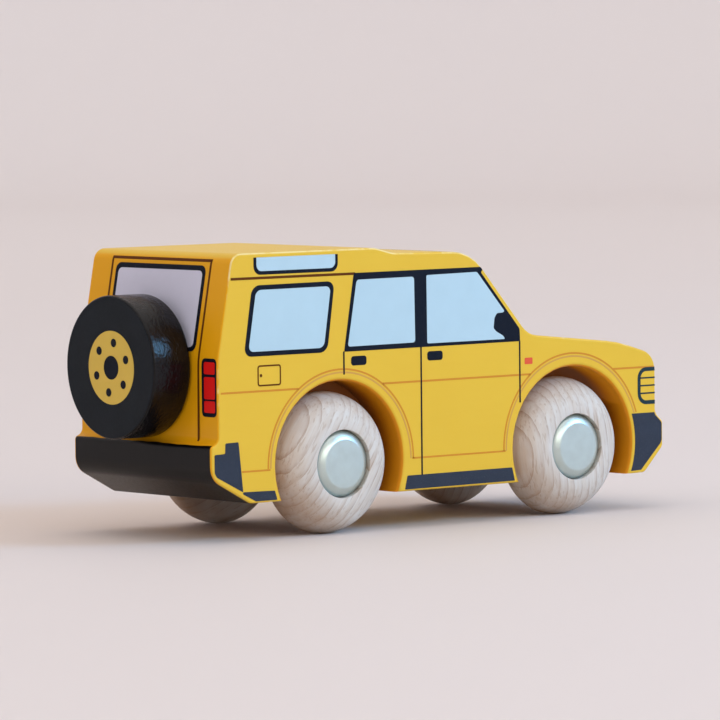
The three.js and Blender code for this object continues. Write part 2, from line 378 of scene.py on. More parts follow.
@dataclass(frozen=True)
class PrintInk:
    """One printed colour, slightly mottled, with a faint tooth from the wood beneath."""

    name: str
    colour: Colour
    mottle: float = 0.06
    speck: float = 0.0
    rough: float = 0.5
    shine: float = 0.3
    speck_colour: Colour = (0.10, 0.12, 0.16)

    def material(self) -> Material:
        """Builds the ink, or gives it back where it is already built.

        Returns:
            The material.
        """
        made = bpy.data.materials.get(self.name)
        if made:
            return made
        graph = ShaderGraph(self.name)
        place = graph.place()
        cloud = graph.noise(place, 260.0, 4.0)
        tooth = graph.noise(place, 1800.0, 2.0)
        lighter = tuple(min(1.0, tone * (1 + self.mottle) + 0.3 * self.mottle * tone)
                        for tone in self.colour)
        darker = tuple(tone * (1 - self.mottle) for tone in self.colour)
        colour = graph.mix(cloud, darker, lighter)
        if self.speck:
            sparkle = graph.step(graph.noise(place, 5200.0, 1.0), 0.6, 0.78) * self.speck
            colour = graph.mix(sparkle, colour, self.speck_colour)
        return graph.finish(Base_Color=colour, Roughness=self.rough + (tooth - 0.5) * 0.14,
                            Specular_IOR_Level=self.shine, Normal=graph.bump(tooth, 0.16, 0.00005))


class Ink(Enum):
    """The printed colours of the car."""

    GLASS = PrintInk("window_ink", (0.45, 0.625, 0.71), 0.03, rough=0.42)
    REAR_GLASS = PrintInk("rear_window_ink", (0.62, 0.63, 0.77), 0.03, rough=0.45)
    NAVY = PrintInk("navy_ink", (0.002, 0.005, 0.014), 0.15, speck=0.1, shine=0.11)
    SLATE = PrintInk("slate_ink", (0.023, 0.031, 0.050), 0.15, speck=0.3, shine=0.2)
    TEAL = PrintInk("teal_ink", (0.012, 0.035, 0.045), 0.15, speck=0.1, shine=0.14)
    LINE = PrintInk("line_ink", (0.115, 0.034, 0.004), 0.1, shine=0.08)
    CREASE = PrintInk("crease_ink", (0.62, 0.245, 0.010), 0.05)
    SHADE = PrintInk("shade_ink", (0.63, 0.33, 0.055), 0.05)
    RED = PrintInk("lamp_red_ink", (0.72, 0.008, 0.006), 0.06, rough=0.4)
    MARKER = PrintInk("marker_ink", (0.74, 0.095, 0.030), 0.05, rough=0.45)
    HUB = PrintInk("hub_yellow_ink", (0.68, 0.475, 0.075), 0.05)


@dataclass(frozen=True)
class BareBeech:
    """Sanded beech, cut so that the growth lines run across a wheel's face."""

    name: str
    centre: Vector
    turn: float
    reach: float
    pitch: float = 0.0023
    tilt: float = 0.16
    pale: Colour = (0.675, 0.655, 0.62)
    warm: Colour = (0.60, 0.52, 0.44)
    late: Colour = (0.34, 0.21, 0.13)
    # The end colour darkens end grain and also carries the painted shade on each wheel's low back corner.
    end: Colour = (0.35, 0.205, 0.115)

    def material(self) -> Material:
        """Builds growth lines, short pores, darker end grain, painted shade on the low back corner and the
        sanded sheen.

        Returns:
            The material.
        """
        graph = ShaderGraph(self.name)
        x, _, z = graph.parts(graph.place())
        place = graph.signal("ShaderNodeMapping", {"vector_type": "TEXTURE"},
                             {"Vector": graph.place(), "Location": self.centre,
                              "Rotation": (0.0, self.turn, 0.0)})
        across, depth, along = graph.parts(place)
        drift, waver, fibre, streak, pores = (
            graph.noise(graph.stretch(place, (1.0, 1.0, run)), scale, detail)
            for run, scale, detail in ((0.12, 110.0, 2.0), (0.25, 420.0, 2.0), (0.05, 2400.0, 3.0),
                                       (0.04, 800.0, 3.0), (0.12, 2000.0, 1.0)))
        cloud = graph.noise(place, 150.0, 3.0)
        rings = (across + depth * self.tilt + (drift - 0.5) * 0.004 + (waver - 0.5) * 0.0009) / self.pitch
        latewood = graph.math("FRACT", rings, 0.0) ** 5.0 * graph.step(cloud, 0.30, 0.6)
        fleck = graph.step(pores, 0.59, 0.70)
        ends = graph.step(abs(along), self.reach * 0.55, self.reach * 1.02)
        # Painted shade on the lower back corner, which faces away from the lights.
        corner = (self.centre.x - x) * 0.62 + (self.centre.z - z) * 0.78
        shaded_corner = graph.step(corner, self.reach * 0.35, self.reach * 1.0)
        brown = graph.math("MINIMUM", ends * (0.15 + cloud * 0.35) + shaded_corner * (0.12 + cloud * 0.6), 1.0)
        base = graph.mix(graph.step(streak, 0.3, 0.7) * 0.6 + cloud * 0.25, self.pale, self.warm)
        end_grain_and_shaded = graph.mix(brown, base, self.end)
        ringed = graph.mix(latewood * 0.7, end_grain_and_shaded, self.late)
        flecked = graph.mix(fleck * 0.32 + graph.step(fibre, 0.52, 0.72) * 0.14, ringed, self.late)
        height = fibre * 0.5 - fleck * 0.8 - latewood * 0.3
        return graph.finish(Base_Color=flecked, Roughness=0.58 + fibre * 0.12, Specular_IOR_Level=0.35,
                            Normal=graph.bump(height, 0.3, 0.00008))


@dataclass(frozen=True)
class ZincPlate:
    """Bright zinc plate on drawn steel, with a faint cloud and fine handling marks."""

    name: str = "zinc_plate"
    colour: Colour = (0.555, 0.655, 0.635)

    def material(self) -> Material:
        """Builds the plate, or gives it back where it is already built.

        Returns:
            The material.
        """
        made = bpy.data.materials.get(self.name)
        if made:
            return made
        graph = ShaderGraph(self.name)
        place = graph.place()
        cloud = graph.noise(place, 420.0, 4.0)
        marks = graph.noise(graph.stretch(place, (1.0, 1.0, 0.12)), 5200.0, 2.0)
        colour = graph.mix(cloud, tuple(tone * 0.9 for tone in self.colour),
                           tuple(min(1.0, tone * 1.1) for tone in self.colour))
        return graph.finish(Base_Color=colour, Metallic=1.0, Roughness=0.24 + cloud * 0.14 + marks * 0.05,
                            Normal=graph.bump(marks * 0.5 + cloud * 0.5, 0.12, 0.00004))


@dataclass(frozen=True)
class BrushedBlack:
    """Black paint brushed on by hand: glossy and streaky, or flat where it was printed."""

    name: str
    colour: Colour = (0.003, 0.0025, 0.003)
    gloss: bool = True

    def material(self) -> Material:
        """Builds the paint with its brush marks.

        Returns:
            The material.
        """
        graph = ShaderGraph(self.name)
        place = graph.place()
        streak = graph.noise(graph.stretch(place, (1.0, 0.5, 0.5)), 420.0, 4.0)
        fine = graph.noise(place, 1300.0, 2.0)
        colour = graph.mix(streak, self.colour, tuple(tone * 1.9 for tone in self.colour))
        rough = 0.14 + streak * 0.16 if self.gloss else 0.46 + fine * 0.14
        relief = graph.bump(streak * 0.6 + fine * 0.4, 0.9 if self.gloss else 0.12, 0.0003)
        return graph.finish(Base_Color=colour, Roughness=rough, Normal=relief,
                            Specular_IOR_Level=0.21 if self.gloss else 0.14)


@dataclass(frozen=True)
class StudioPaper:
    """The pale, faintly glossy surface that the car stands on."""

    near: Colour = (0.728, 0.648, 0.615)
    # The far colour is paler: painted light for the rising edge, which the lamps light less.
    far: Colour = (0.843, 0.79, 0.778)

    def material(self) -> Material:
        """Builds the paper, a little paler towards its rising edge, with a slow drift of tone.

        Returns:
            The material.
        """
        graph = ShaderGraph("studio_paper")
        place = graph.place()
        x, y, _ = graph.parts(place)
        cloud = graph.noise(place, 7.0, 2.0)
        reach = graph.span(x, y) + (cloud - 0.5) * 0.1
        # Painted light: paler towards the rising edge, making up for the lamps' falloff there.
        colour = graph.mix(graph.step(reach, 0.1, 2.3), self.near, self.far)
        return graph.finish(Base_Color=colour, Roughness=0.62 + cloud * 0.06, Specular_IOR_Level=0.12)


class Hand:
    """Hand tools for meshes; in edit mode each one works on what is selected."""

    @staticmethod
    def clear() -> None:
        """Leaves edit mode and deselects everything."""
        if bpy.context.object and bpy.context.object.mode != "OBJECT":
            bpy.ops.object.mode_set(mode="OBJECT")
        bpy.ops.object.select_all(action="DESELECT")

    @staticmethod
    def take(*pieces: Piece) -> None:
        """Selects some pieces alone and makes the first one active.

        Args:
            *pieces: What to select.
        """
        Hand.clear()
        for piece in pieces:
            piece.select_set(True)
        bpy.context.view_layer.objects.active = pieces[0]

    @staticmethod
    @contextmanager
    def editing(piece: Piece) -> Iterator[None]:
        """Opens one piece in edit mode with all of it selected, and closes it afterwards.

        Args:
            piece: What to open.

        Yields:
            Nothing, while the piece is open.
        """
        Hand.take(piece)
        bpy.ops.object.mode_set(mode="EDIT")
        bpy.ops.mesh.select_mode(type="VERT")
        bpy.ops.mesh.select_all(action="SELECT")
        yield
        bpy.ops.object.mode_set(mode="OBJECT")

    @staticmethod
    def pick(piece: Piece, kind: str, test: Callable[[Any], bool]) -> int:
        """Selects the vertices or faces that pass a test, and nothing else.

        Args:
            piece: The piece that is open in edit mode.
            kind: "verts" or "faces".
            test: What an element has to pass.

        Returns:
            How many were selected.
        """
        bpy.ops.mesh.select_mode(type={"verts": "VERT", "faces": "FACE"}[kind])
        bpy.ops.mesh.select_all(action="DESELECT")
        mesh = bmesh.from_edit_mesh(piece.data)
        chosen = [element for element in getattr(mesh, kind) if test(element)]
        for element in chosen:
            element.select_set(True)
        mesh.select_flush_mode()
        bmesh.update_edit_mesh(piece.data)
        return len(chosen)

    @staticmethod
    def weld(distance: float = WELD) -> None:
        """Merges the doubles of the open piece."""
        bpy.ops.mesh.select_all(action="SELECT")
        bpy.ops.mesh.remove_doubles(threshold=distance)

    @staticmethod
    def cut(place: Vector, direction: Vector, keep: bool = False) -> None:
        """Cuts through the open piece and, where asked, keeps only what the direction points to."""
        bpy.ops.mesh.select_all(action="SELECT")
        bpy.ops.mesh.bisect(plane_co=place, plane_no=direction, clear_inner=keep)

    @staticmethod
    def settle(name: str) -> Piece:
        """Names the active piece and puts its place into its mesh.

        Args:
            name: The piece's name.

        Returns:
            The piece, at the origin.
        """
        piece = bpy.context.object
        piece.name = piece.data.name = name
        bpy.ops.object.transform_apply(location=True, rotation=True, scale=True)
        return piece

    @staticmethod
    def draw(name: str, points: Sequence[Vector], fill: bool) -> Piece:
        """Extrudes one vertex along a row of points.

        Args:
            name: The new piece's name.
            points: The points in order.
            fill: Whether the row closes into a face.

        Returns:
            The new piece, at the origin.
        """
        Hand.clear()
        bpy.ops.mesh.primitive_plane_add(size=MM, location=points[0])
        piece = Hand.settle(name)
        with Hand.editing(piece):
            bpy.ops.mesh.merge(type="CENTER")
            for start, end in zip(points, points[1:]):
                bpy.ops.mesh.extrude_vertices_move(TRANSFORM_OT_translate={"value": end - start})
            if fill:
                bpy.ops.mesh.select_all(action="SELECT")
                bpy.ops.mesh.edge_face_add()
        return piece

    @staticmethod
    def circle(middle: Vector, radius: float, sides: int, fill: str) -> Piece:
        """Adds a circle, as an outline or filled.

        Args:
            middle: Its middle.
            radius: Its radius in metres.
            sides: How many sides it has.
            fill: "NOTHING" or "NGON".

        Returns:
            The new piece, at the origin.
        """
        Hand.clear()
        bpy.ops.mesh.primitive_circle_add(vertices=sides, radius=radius, fill_type=fill, location=middle)
        return Hand.settle("ink_shape")

    @staticmethod
    def turn(name: str, section: Sequence[Point], centre: Vector, axis: Vector, steps: int) -> Piece:
        """Spins a half-section round an axis.

        Args:
            name: The new piece's name.
            section: Radius and place along the axis of each point, in millimetres.
            centre: Where the axis starts.
            axis: The axis's direction, along X or Y.
            steps: How many steps make the turn.

        Returns:
            The turned piece.
        """
        row = [centre + axis * (along * MM) + UP * (radius * MM) for radius, along in section]
        piece = Hand.draw(name, row, fill=False)
        with Hand.editing(piece):
            bpy.ops.mesh.spin(steps=steps, angle=math.tau, center=centre, axis=axis)
            Hand.weld()
            bpy.ops.mesh.normals_make_consistent(inside=False)
        return piece

    @staticmethod
    def soften(piece: Piece, angle: float) -> None:
        """Shades smooth up to an angle, with broad faces kept flat.

        Args:
            piece: What to shade.
            angle: The sharpest smooth edge, in degrees.
        """
        Hand.take(piece)
        bpy.ops.object.shade_smooth_by_angle(angle=math.radians(angle))
        modifier = piece.modifiers.new("broad_faces", "WEIGHTED_NORMAL")
        modifier.keep_sharp = True
        modifier.weight = 90
        bpy.ops.object.modifier_apply(modifier=modifier.name)

    @staticmethod
    def copy(piece: Piece, name: str, move: Matrix | None = None) -> Piece:
        """Copies a piece, with a mesh of its own, and moves or mirrors that mesh.

        Args:
            piece: The piece to copy.
            name: The copy's name.
            move: Where the mesh goes, if it moves.

        Returns:
            The copy.
        """
        twin = bpy.data.objects.new(name, piece.data.copy())
        twin.data.name = name
        bpy.context.scene.collection.objects.link(twin)
        if move:
            twin.data.transform(move)
            if move.determinant() < 0:
                with Hand.editing(twin):
                    bpy.ops.mesh.flip_normals()
        return twin

    @staticmethod
    def dress(piece: Piece, material: Material) -> None:
        """Gives a piece one material."""
        piece.data.materials.clear()
        piece.data.materials.append(material)


def stand_for(piece: Piece, body: str, node: str, slot: str) -> None:
    """Makes a finished piece stand for a node of the frame.

    Args:
        piece: The piece.
        body: The body that it rides on.
        node: The node that it replaces.
        slot: Not used.
    """
    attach(piece, body)
    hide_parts(node)


def bow(centre: Point, radii: Point, angles: Point, count: int) -> list[Point]:
    """Gives points along a stretch of an ellipse.

    Args:
        centre: Its middle.
        radii: Its two half-widths.
        angles: The first and last angle in degrees.
        count: How many steps.

    Returns:
        The points, ends included.
    """
    first, last = (math.radians(angle) for angle in angles)
    turns = [first + (last - first) * step / count for step in range(count + 1)]
    return [(centre[0] + radii[0] * math.cos(turn), centre[1] + radii[1] * math.sin(turn)) for turn in turns]


def level(*heights: float) -> list[Cut]:
    """Gives level cuts at some heights of a drawing."""
    return [((0.0, height), (0.0, 1.0)) for height in heights]


def upright(*places: float) -> list[Cut]:
    """Gives upright cuts at some places across a drawing."""
    return [((place, 0.0), (1.0, 0.0)) for place in places]


@dataclass(frozen=True)
class Datum:
    """Where places are measured from: the floor, and a line near the rear axle, set off the rear bumper."""

    rear_axle: Vector
    front_axle: Vector
    low: Vector
    high: Vector
    reach: float = 37.9

    @classmethod
    def of(cls, frame: dict[str, Any]) -> "Datum":
        """Reads the axles and the block's box from the frame."""
        places = {joint["name"]: Vector(joint["pos_m"]) for joint in frame["record"]["behaviour"]["joints"]}
        return cls(places["rear_right_spin"], places["front_right_spin"], *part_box("body_block"))

    def along(self, length: float) -> float:
        """Gives the frame's X of a length in millimetres ahead of the line."""
        return self.low.x + (self.reach + length) * MM

    def length(self, place: float) -> float:
        """Gives the length in millimetres ahead of the line of a frame's X."""
        return (place - self.low.x) / MM - self.reach


@dataclass(frozen=True)
class Face:
    """A side of the car that is printed: where its drawing starts and which way it looks."""

    origin: Vector
    across: Vector
    up: Vector
    mirrored: bool = False

    def matrix(self) -> Matrix:
        """Stands a flat drawing in front of the face.

        Returns:
            The matrix from the drawing to the car.
        """
        outward = self.across.cross(self.up)
        matrix = Matrix((self.across, self.up, outward)).transposed().to_4x4()
        matrix.translation = self.origin
        return matrix

    def point(self, place: Point) -> Vector:
        """Gives a drawing point in metres from a place in millimetres."""
        return Vector((-place[0] if self.mirrored else place[0], place[1], 0.0)) * MM


@dataclass(frozen=True)
class Shape:
    """A filled shape in millimetres: its corners, how far they are rounded and, where not all are, which."""

    corners: tuple[Point, ...]
    rounding: float = 0.0
    rounded: tuple[int, ...] | None = None


def box(low: Point, high: Point, rounding: float = 0.0, rounded: tuple[int, ...] | None = None) -> Shape:
    """Gives an upright rectangle, whose corners run from the low one across, up and back."""
    return Shape((low, (high[0], low[1]), high, (low[0], high[1])), rounding, rounded)


class Pressing(Enum):
    """How a print meets what carries it: straight back from its face, or at the nearest place."""

    STRAIGHT = "PROJECT"
    NEAREST = "NEAREST_SURFACEPOINT"


@dataclass
class InkSheet:
    """Shapes of one ink on one face: drawn flat, pressed on to their carrier and given a film's thickness."""

    face: Face
    ink: Ink
    lift: float = DARK_FILM
    pressing: Pressing = Pressing.STRAIGHT
    shapes: list[Piece] = field(default_factory=list)

    def patch(self, *shapes: Shape) -> None:
        """Draws filled shapes.

        Args:
            *shapes: The shapes, in order.
        """
        for shape in shapes:
            points = [self.face.point(corner) for corner in shape.corners]
            piece = Hand.draw("ink_shape", points, fill=True)
            if shape.rounding:
                chosen = range(len(points)) if shape.rounded is None else shape.rounded
                wanted = [points[index] for index in chosen]
                with Hand.editing(piece):
                    Hand.pick(piece, "verts",
                              lambda vert: any((vert.co - place).length < TOUCH for place in wanted))
                    bpy.ops.mesh.bevel(offset=shape.rounding * MM, offset_pct=0, segments=CORNER_STEPS,
                                       affect="VERTICES")
            self.shapes.append(piece)

    def line(self, start: Point, end: Point, width: float) -> None:
        """Draws a straight line.

        Args:
            start: Its first end in millimetres.
            end: Its last end.
            width: Its width.
        """
        run, rise = end[0] - start[0], end[1] - start[1]
        length = math.hypot(run, rise)
        side_x, side_y = -rise / length * width / 2, run / length * width / 2
        self.patch(Shape(((start[0] + side_x, start[1] + side_y), (start[0] - side_x, start[1] - side_y),
                          (end[0] - side_x, end[1] - side_y), (end[0] + side_x, end[1] + side_y))))

    def outline(self, shape: Shape, width: float, keep: Sequence[Cut] = ()) -> None:
        """Draws a line of even width along the inside of a shape's edge.

        Args:
            shape: The shape.
            width: The line's width in millimetres.
            keep: For each cut a point on it and the direction that is kept.
        """
        self.patch(shape)
        with Hand.editing(self.shapes[-1]):
            bpy.ops.mesh.select_mode(type="FACE")
            bpy.ops.mesh.select_all(action="SELECT")
            bpy.ops.mesh.inset(thickness=width * MM, use_even_offset=True)
            bpy.ops.mesh.delete(type="FACE")
            self.cut(keep, keep=True)

    def cut(self, cuts: Sequence[Cut], keep: bool = False) -> None:
        """Cuts the shape that is open in edit mode and, where asked, keeps what each direction points to."""
        for place, direction in cuts:
            Hand.cut(self.face.point(place), self.face.point(direction).normalized(), keep)

    def ring(self, centre: Point, radius: float, width: float, keep: Sequence[Cut] = ()) -> None:
        """Draws a round line and keeps one side of each cut.

        Args:
            centre: Its middle in millimetres.
            radius: The radius at the middle of the line.
            width: The line's width.
            keep: For each cut a point on it and the direction that is kept.
        """
        inner, outer = radius - width / 2, radius + width / 2
        middle = self.face.point(centre)
        piece = Hand.circle(middle, inner * MM, RING_SIDES, "NOTHING")
        with Hand.editing(piece):
            bpy.ops.mesh.extrude_region_move()
            bpy.ops.transform.resize(value=(outer / inner,) * 3, center_override=middle)
            self.cut(keep, keep=True)
        self.shapes.append(piece)

    def dot(self, centre: Point, radius: float, sides: int) -> None:
        """Draws a filled round spot.

        Args:
            centre: Its middle in millimetres.
            radius: Its radius.
            sides: How many sides it has.
        """
        piece = Hand.circle(self.face.point(centre), radius * MM, sides, "NGON")
        with Hand.editing(piece):
            bpy.ops.mesh.inset(thickness=radius * MM * 0.5)
        self.shapes.append(piece)

    def press(self, name: str, carrier: Piece, cuts: Sequence[Cut] = ()) -> Piece:
        """Joins the shapes, presses them on to their carrier and finishes the piece.

        Args:
            name: The piece's name.
            carrier: The piece that carries the print.
            cuts: Where the shapes are cut, so that they can follow a bend there.

        Returns:
            The finished print.
        """
        Hand.take(*self.shapes)
        sheet = self.shapes[0]
        if len(self.shapes) > 1:
            bpy.ops.object.join()
        with Hand.editing(sheet):
            self.cut(cuts)
            if Hand.pick(sheet, "faces", lambda face: face.normal.z < 0):
                bpy.ops.mesh.flip_normals()
        sheet.matrix_world = self.face.matrix()
        bpy.context.view_layer.update()
        wrap = sheet.modifiers.new("pressed_on", "SHRINKWRAP")
        wrap.target = carrier
        wrap.wrap_method = self.pressing.value
        wrap.wrap_mode = "ABOVE_SURFACE"
        wrap.use_project_z = True
        wrap.use_positive_direction = False
        wrap.use_negative_direction = True
        wrap.offset = self.lift * MM
        film = sheet.modifiers.new("film", "SOLIDIFY")
        film.thickness = (self.lift - FILM_GAP) * MM
        film.offset = -1.0
        film.use_even_offset = True
        Hand.take(sheet)
        for modifier in (wrap.name, film.name):
            bpy.ops.object.modifier_apply(modifier=modifier)
        Hand.settle(name)
        Hand.dress(sheet, self.ink.value.material())
        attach(sheet, CAR_BODY)
        return sheet


@dataclass
class BodyBlock:
    """The profiled block: the frame's shape, shaded as sanded and painted wood."""

    datum: Datum
    paint_rim: float = 0.5
    well_radius: float = 18.55
    well_rise: float = 0.3
    core: float = 13.0
    flat_angle: float = 0.4
    smooth_angle: float = 38.0
    rear_brush_line: Line = ((-25.6, 7.6), (-37.3, 21.75))
    front_brush_line: Line = ((95.6, 22.5), (91.1, 7.6))
    tail: Line = ((-35.8, 40.5), (-31.45, 64.0))

    def build(self, node: Piece) -> Piece:
        """Copies the block, merges its loose triangles, shades it and paints it.

        Args:
            node: The frame's block.

        Returns:
            The finished block.
        """
        block = Hand.copy(node, "painted_block")
        with Hand.editing(block):
            Hand.weld()
            bpy.ops.mesh.dissolve_limited(angle_limit=math.radians(self.flat_angle))
            for place in (-self.core, self.core):
                Hand.cut(LEFT * (place * MM), LEFT)
        Hand.soften(block, self.smooth_angle)
        rear, front, tail = (tuple((self.datum.along(x), z * MM) for x, z in line)
                             for line in (self.rear_brush_line, self.front_brush_line, self.tail))
        wells = tuple((axle.x, axle.z + self.well_rise * MM)
                      for axle in (self.datum.rear_axle, self.datum.front_axle))
        side = self.datum.high.y
        paint = BlockPaint(rear, front, tail, wells, self.well_radius * MM, side, side - self.paint_rim * MM)
        Hand.dress(block, paint.material())
        stand_for(block, CAR_BODY, "body_block", "yellow_paint")
        return block


@dataclass
class SidePrint:
    """Windows, door lines, arch lines, trim and lamps on one side, measured from the datum and the floor."""

    datum: Datum
    set_back: float = 0.42
    edge_round: float = 0.5
    screen_edge: Line = ((55.7, 42.5), (38.3, 62.2))
    nose_bends: tuple[float, ...] = (95.3, 95.45, 97.6)
    foot_bends: tuple[float, ...] = (8.85, 9.1)
    arches: tuple[tuple[Point, tuple[Cut, ...]], ...] = (
        ((-0.25, 16.0), (((0.0, 15.9), (0.0, 1.0)),)),
        ((69.4, 16.5), (((0.0, 16.1), (0.0, 1.0)), ((88.3, 22.7), (-0.2, 1.0)))))
    arch_outer: float = 21.15
    arch_inner: float = 20.43
    arch_line: float = 0.42
    arch_feet: tuple[Line, ...] = (((-28.9, 15.75), (-20.8, 15.75)), ((20.6, 16.05), (48.7, 16.05)))
    arch_lip: float = 19.4
    arch_rise: float = 0.3
    crease_height: float = 33.35
    crease_width: float = 0.46
    crease_runs: tuple[Point, ...] = ((-34.6, -12.5), (12.0, 56.5), (82.3, 95.2))
    gutter: Line = ((-31.5, 58.4), (4.2, 58.4))
    gutter_width: float = 0.58
    flap: Shape = box((-24.2, 34.4), (-17.5, 39.1), 0.7)
    fine_line: float = 0.36
    flap_lock: Point = (-23.2, 36.8)
    lock_sides: int = 20
    nose_lamp: Shape = box((90.1, 24.6), (97.6, 33.3), 2.6, (0, 3))
    lamp_frame: float = 0.92
    lamp_bars: tuple[float, ...] = (30.8, 29.0, 27.2)
    lamp_across: Point = (90.9, 95.6)
    rear_skirts: tuple[Shape, ...] = (
        Shape(((18.3, 9.0), (51.5, 9.1), (50.7, 12.2), (19.1, 12.15)), 0.25),
        Shape(((-33.5, 22.3), (-29.8, 22.4), (-28.6, 11.2), (-36.0, 14.9), (-36.6, 15.9), (-36.6, 19.9),
               (-33.6, 20.0)), 0.3),
        Shape(((-28.6, 11.25), (-19.6, 11.1), (-18.9, 9.0), (-25.0, 9.0), (-28.7, 10.8)), 0.2))
    front_skirt_arc: Point = (-21.6, 19.0)
    front_skirt: tuple[Point, ...] = ((91.0, 9.3), (97.2, 15.2), (97.67, 16.0), (97.67, 19.9), (97.4, 20.4),
                                      (95.6, 22.0), (95.35, 22.6))
    door_lines: tuple[Line, ...] = (((0.7, 35.9), (0.7, 41.1)), ((23.45, 12.1), (23.45, 41.1)),
                                    ((53.3, 27.0), (53.3, 41.2)))
    door_line: float = 0.44
    frames_and_handles: tuple[Shape, ...] = (
        Shape(((0.8, 41.0), (3.8, 58.55), (41.7, 58.6), (42.3, 58.0), (41.6, 57.4), (53.3, 44.0),
               (53.45, 41.1)), 0.35),
        Shape(((-25.5, 56.8), (-1.8, 56.95), (-4.1, 41.1), (-28.0, 41.1)), 2.1),
        Shape(((-25.0, 62.95), (-25.0, 59.1), (-0.8, 59.1), (-0.8, 62.95)), 1.9, (1, 2)),
        box((2.8, 37.8), (7.3, 39.9), 0.7),
        box((25.3, 37.9), (29.9, 40.0), 0.7))
    panes: tuple[Shape, ...] = (
        Shape(((4.6, 57.0), (21.5, 57.1), (21.7, 42.2), (1.85, 42.1)), 0.7),
        Shape(((25.2, 57.3), (40.4, 57.5), (48.7, 48.2), (48.2, 47.9), (46.4, 47.85), (45.6, 46.8),
               (45.3, 44.4), (46.2, 43.6), (48.2, 42.6), (48.8, 41.8), (25.3, 41.8)), 0.35),
        Shape(((-24.4, 55.75), (-2.95, 55.85), (-5.1, 42.15), (-26.75, 42.15)), 1.4),
        Shape(((-24.2, 62.95), (-24.2, 59.9), (-1.6, 59.9), (-1.6, 62.95)), 1.4, (1, 2)))
    side_marker: Shape = box((54.8, 35.7), (57.2, 37.2), 0.25)

    def face(self) -> Face:
        """Gives the flat right side that the drawing lies on."""
        origin = Vector((self.datum.along(-self.set_back), self.datum.low.y - FILM_GAP * MM, 0.0))
        return Face(origin, FORWARD, UP)

    def cuts(self) -> list[Cut]:
        """Finds where prints run over the side's rounded edges.

        Returns:
            The cuts there.
        """
        (foot_x, foot_z), (top_x, top_z) = self.screen_edge
        length = math.hypot(top_x - foot_x, top_z - foot_z)
        out = ((top_z - foot_z) / length, (foot_x - top_x) / length)
        slants = [((foot_x + self.set_back - out[0] * inset, foot_z - out[1] * inset), out)
                  for inset in (self.edge_round, self.edge_round / 2)]
        return [*upright(*self.nose_bends), *level(*self.foot_bends), *slants]

    def build(self, block: Piece) -> list[Piece]:
        """Prints the right side, one ink after the other, and copies each print to the left side.

        Args:
            block: The block that carries the print.

        Returns:
            The printed pieces.
        """
        steps = [(Ink.CREASE, FAINT_FILM, self.creases, "arch_lines"),
                 (Ink.SHADE, FAINT_FILM, self.shades, "arch_shades"),
                 (Ink.LINE, LINE_FILM, self.lines, "gutter_and_flap"),
                 (Ink.TEAL, DARK_FILM, self.lamp, "nose_lamp"),
                 (Ink.SLATE, DARK_FILM, self.skirts, "bumper_ends_and_sill"),
                 (Ink.NAVY, DARK_FILM, self.trim, "dark_trim"),
                 (Ink.GLASS, OVER_FILM, self.glass, "windows"),
                 (Ink.MARKER, DARK_FILM, self.marker, "marker")]
        mirror = Matrix.Scale(-1.0, 4, LEFT)
        pieces = []
        for ink, lift, draw, name in steps:
            sheet = InkSheet(self.face(), ink, lift, Pressing.NEAREST)
            draw(sheet)
            right = sheet.press(f"right_{name}", block, self.cuts())
            left = Hand.copy(right, f"left_{name}", mirror)
            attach(left, CAR_BODY)
            pieces += [right, left]
        return pieces

    def round_arches(self, sheet: InkSheet, radius: float) -> None:
        """Draws a line round the upper half of each arch."""
        for middle, cuts in self.arches:
            sheet.ring(middle, radius, self.arch_line, cuts)

    def creases(self, sheet: InkSheet) -> None:
        """Draws the crease along the waist and the outer lines round the arches.

        Args:
            sheet: The ink's sheet.
        """
        for start, end in self.crease_runs:
            sheet.line((start, self.crease_height), (end, self.crease_height), self.crease_width)
        self.round_arches(sheet, self.arch_outer)
        for start, end in self.arch_feet:
            sheet.line(start, end, self.arch_line)

    def shades(self, sheet: InkSheet) -> None:
        """Draws the paler inner lines round the arches."""
        self.round_arches(sheet, self.arch_inner)

    def lines(self, sheet: InkSheet) -> None:
        """Draws the gutter and the fuel flap with its lock.

        Args:
            sheet: The ink's sheet.
        """
        sheet.line(*self.gutter, self.gutter_width)
        sheet.outline(self.flap, self.fine_line)
        sheet.dot(self.flap_lock, self.fine_line, self.lock_sides)

    def lamp(self, sheet: InkSheet) -> None:
        """Draws the frame and bars of the lamp that runs round the nose.

        Args:
            sheet: The ink's sheet.
        """
        start, end = self.lamp_across
        sheet.outline(self.nose_lamp, self.lamp_frame, [((end, 0.0), (-1.0, 0.0))])
        for height in self.lamp_bars:
            sheet.line((start, height), (end, height), self.fine_line)

    def skirts(self, sheet: InkSheet) -> None:
        """Draws the sill, the bumper ends and the strip behind the rear wheel.

        Args:
            sheet: The ink's sheet.
        """
        axle = self.datum.front_axle
        middle = (self.datum.length(axle.x) + self.set_back, axle.z / MM + self.arch_rise)
        arch = bow(middle, (self.arch_lip, self.arch_lip), self.front_skirt_arc, 10)
        sheet.patch(*self.rear_skirts, Shape((*reversed(arch), *self.front_skirt)))

    def trim(self, sheet: InkSheet) -> None:
        """Draws the door lines, dark frames and handles.

        Args:
            sheet: The ink's sheet.
        """
        for foot, top in self.door_lines:
            sheet.line(foot, top, self.door_line)
        sheet.patch(*self.frames_and_handles)

    def glass(self, sheet: InkSheet) -> None:
        """Draws the panes over their dark frames."""
        sheet.patch(*self.panes)

    def marker(self, sheet: InkSheet) -> None:
        """Draws the small side marker."""
        sheet.patch(self.side_marker)


